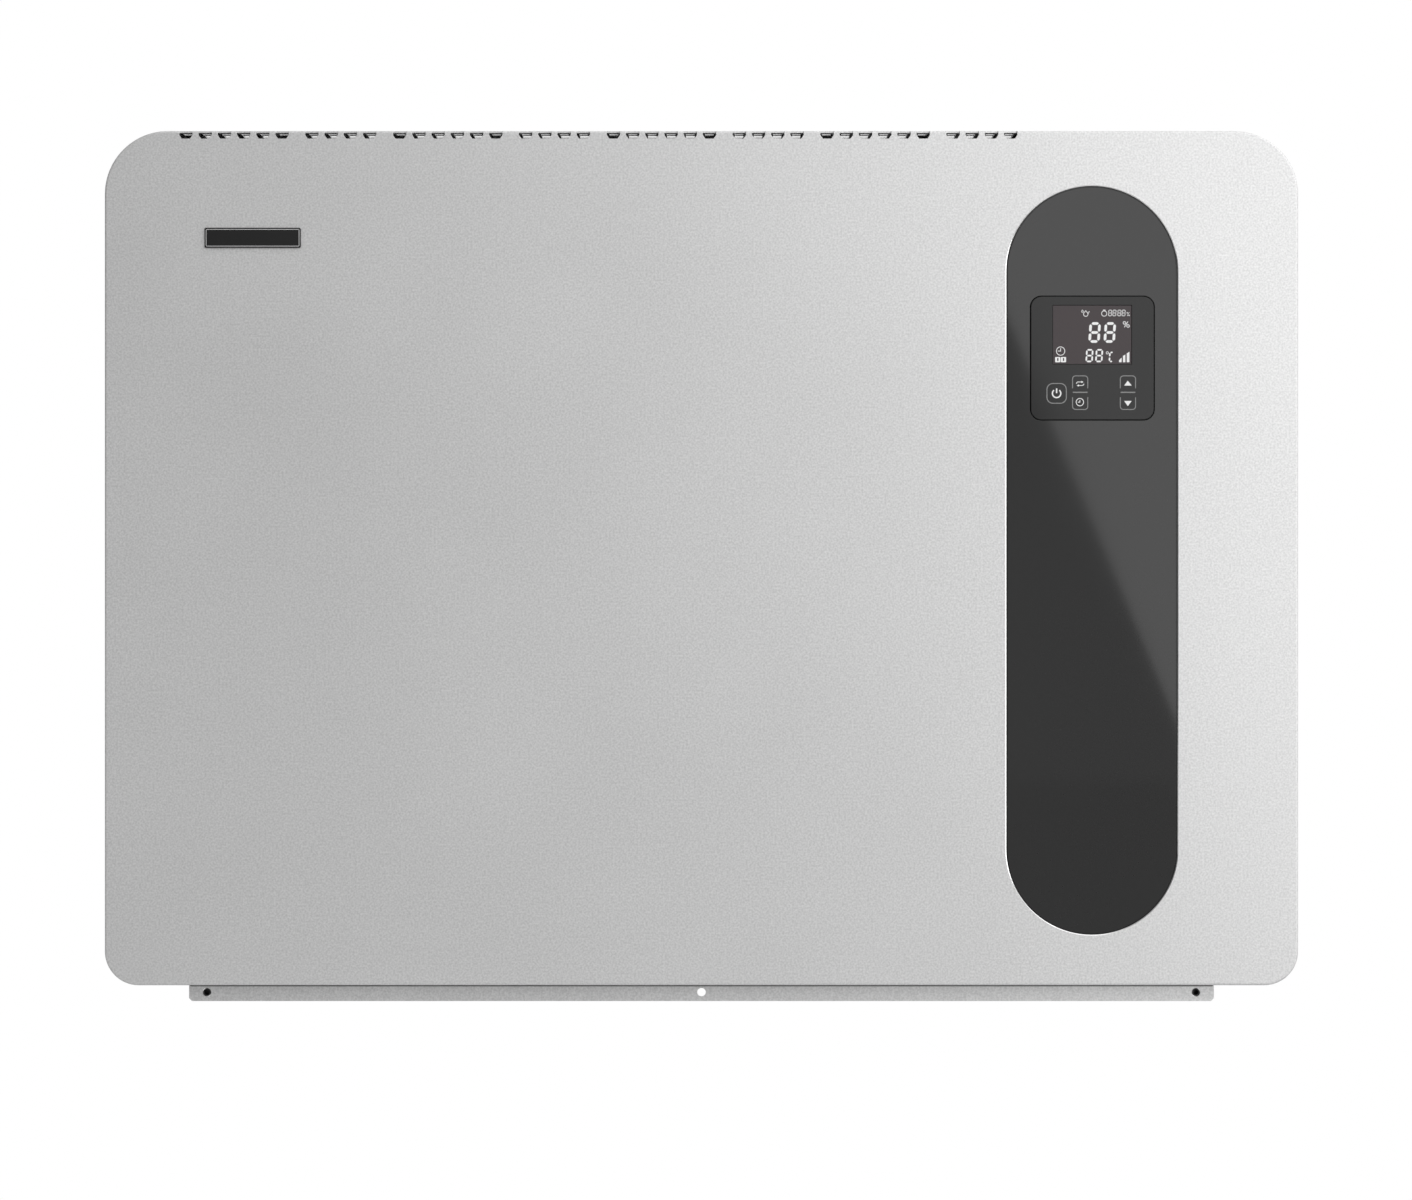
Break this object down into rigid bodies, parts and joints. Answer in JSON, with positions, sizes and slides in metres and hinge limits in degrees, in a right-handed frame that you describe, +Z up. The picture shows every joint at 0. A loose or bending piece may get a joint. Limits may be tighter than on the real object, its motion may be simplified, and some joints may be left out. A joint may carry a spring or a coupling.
{
  "type": "heat pump unit",
  "caption": "Wall-hung pool-hall heat pump unit: folded silver front cover, dark control strip with touch display, top air slots, twin blowers, coils and a slide-out filter.",
  "frame": {"origin": "centre of the wall bracket's back face, on the wall", "axes": "+X to the right seen from the front, +Y into the wall, +Z up; the front cover faces -Y"},
  "size_m": [1.0058, 0.2565, 0.744],
  "materials": {
    "silver_paint": "fine metallic powder coat, satin",
    "strip_gloss": "smooth dark grey gloss",
    "pad_plastic": "semi-gloss dark grey",
    "lcd_glass": "smooth smoked display window",
    "black_plastic": "moulded, matte",
    "galvanised": "galvanised sheet",
    "zinc_screw": "bright zinc",
    "rubber": "matte",
    "fin_foil": "thin foil fins",
    "copper": "drawn copper tube",
    "compressor_black": "black enamel",
    "grey_plastic": "moulded, matte",
    "white_foam": "moulded, matte",
    "board_green": "lacquered circuit board",
    "mesh_black": "woven filter net",
    "aluminium": "cast and drawn, satin",
    "badge_black": "blank gloss plate"
  },
  "bodies": {
    "wall": {"wall_bracket": "galvanised"},
    "chassis": {"hanger_rail": "galvanised", "wall_buffer_left": "rubber", "wall_buffer_right": "rubber", "back_panel": "galvanised", "base_pan": "silver_paint", "rivet_nut_left": "black_plastic", "rivet_nut_right": "black_plastic", "filter_guide_front": "galvanised", "filter_guide_rear": "galvanised", "partition_plate": "galvanised", "drip_tray": "white_foam", "drain_spigot": "black_plastic", "cable_gland": "black_plastic", "gland_nut": "black_plastic", "evaporator_fins": "fin_foil", "evaporator_tube": "copper", "condenser_fins": "fin_foil", "condenser_tube": "copper", "coil_plate_left": "galvanised", "coil_plate_right": "galvanised", "fan_deck": "galvanised", "blower_housing_left": "grey_plastic", "blower_housing_right": "grey_plastic", "fan_motor": "aluminium", "motor_bracket": "galvanised", "compressor": "compressor_black", "rubber_mount_1": "rubber", "rubber_mount_2": "rubber", "rubber_mount_3": "rubber", "terminal_cover": "black_plastic", "accumulator": "compressor_black", "filter_drier": "copper", "suction_pipe": "copper", "discharge_pipe": "copper", "liquid_pipe": "copper", "capillary_tube": "copper", "electrical_box": "galvanised", "main_board": "board_green", "run_capacitor": "aluminium", "fan_capacitor": "black_plastic", "terminal_block": "white_foam"},
    "cover": {"front_cover": "silver_paint", "control_strip": "strip_gloss", "touch_pad": "pad_plastic", "lcd_module": "lcd_glass", "display_board": "board_green", "controller_housing": "black_plastic", "badge_plate": "badge_black", "cover_screw_left_low": "zinc_screw", "cover_screw_right_low": "zinc_screw", "cover_screw_left_high": "zinc_screw", "cover_screw_right_high": "zinc_screw"},
    "fan": {"fan_wheel_left": "black_plastic", "fan_wheel_right": "black_plastic", "fan_shaft": "zinc_screw"},
    "filter": {"filter_frame": "grey_plastic", "filter_mesh": "mesh_black"}
  },
  "joints": [
    {"name": "hang_lift", "type": "slide", "parent": "wall", "child": "chassis", "axis": [0, 0, 1], "range_m": [0, 0.014]},
    {"name": "cover_off", "type": "slide", "parent": "chassis", "child": "cover", "axis": [0, -1, 0], "range_m": [0, 0.3]},
    {"name": "fan_spin", "type": "hinge", "parent": "chassis", "child": "fan", "pos_m": [-0.085, -0.13, -0.16], "axis": [1, 0, 0], "continuous": true},
    {"name": "filter_slide", "type": "slide", "parent": "chassis", "child": "filter", "axis": [-1, 0, 0], "range_m": [0, 0.6]}
  ]
}
